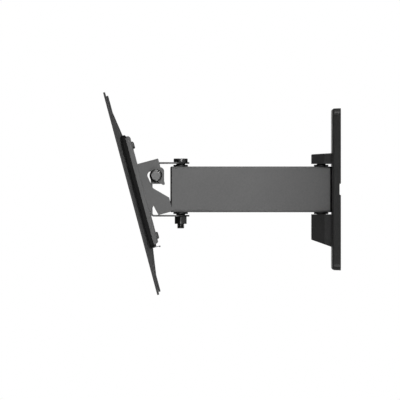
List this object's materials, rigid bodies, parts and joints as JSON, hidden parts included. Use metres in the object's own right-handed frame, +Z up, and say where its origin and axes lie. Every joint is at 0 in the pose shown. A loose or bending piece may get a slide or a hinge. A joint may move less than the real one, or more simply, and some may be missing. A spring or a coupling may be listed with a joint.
{
  "type": "full motion tv wall mount",
  "caption": "Full motion wall mount for a flat screen: covered wall plate, swinging rectangular arm, swivel bracket and tilting screen plate with upright rails.",
  "frame": {"origin": "on the wall's surface, at the centre of the wall plate and its pattern of wall screws", "axes": "+Y into the wall, +Z up, the screen faces -Y at rest, the picture looks along -X"},
  "size_m": [0.236, 0.2572, 0.2179],
  "materials": {
    "grey_powder_coat": "satin grey powder coat",
    "dark_grey_powder_coat": "satin dark grey powder coat",
    "black_powder_coat": "satin black powder coat",
    "black_moulding": "fine grained black moulding",
    "black_nylon": "smooth black nylon",
    "black_fastener": "black zinc",
    "plain_steel": "plain zinc"
  },
  "bodies": {
    "wall_base": {"wall_plate": "black_powder_coat", "wall_yoke": "black_powder_coat", "wall_cover": "black_moulding", "wall_pivot_bolt": "black_fastener", "wall_pivot_washer": "black_fastener", "wall_pivot_nut": "black_fastener"},
    "arm": {"arm_tube": "grey_powder_coat", "wall_end_cap": "black_moulding", "head_end_cap": "black_moulding", "upper_wall_bush": "black_nylon", "lower_wall_bush": "black_nylon", "upper_head_bush": "black_nylon", "lower_head_bush": "black_nylon", "wall_spacer_tube": "plain_steel", "head_spacer_tube": "plain_steel"},
    "swivel_head": {"swivel_bracket": "grey_powder_coat", "head_pivot_bolt": "black_fastener", "head_pivot_nut": "black_fastener", "tilt_bolt": "black_fastener", "tilt_washer": "black_fastener", "tilt_nut": "black_fastener", "tilt_spacer": "plain_steel", "friction_washers": "black_nylon"},
    "screen_head": {"tilt_bracket": "grey_powder_coat", "bracket_screws": "black_fastener", "head_plate": "black_powder_coat", "left_rail": "dark_grey_powder_coat", "right_rail": "dark_grey_powder_coat", "rail_bolts": "black_fastener", "rail_nuts": "black_fastener", "cable_clip": "plain_steel"}
  },
  "joints": [
    {"name": "arm_swivel", "type": "hinge", "parent": "wall_base", "child": "arm", "pos_m": [0, -0.02081, 0], "axis": [0, 0, 1], "range_deg": [-90, 90]},
    {"name": "head_swivel", "type": "hinge", "parent": "arm", "child": "swivel_head", "pos_m": [0, -0.17431, 0], "axis": [0, 0, 1], "range_deg": [-85, 85]},
    {"name": "tilt", "type": "hinge", "parent": "swivel_head", "child": "screen_head", "pos_m": [0, -0.20131, 0.0151], "axis": [1, 0, 0], "range_deg": [-20, 0]}
  ]
}
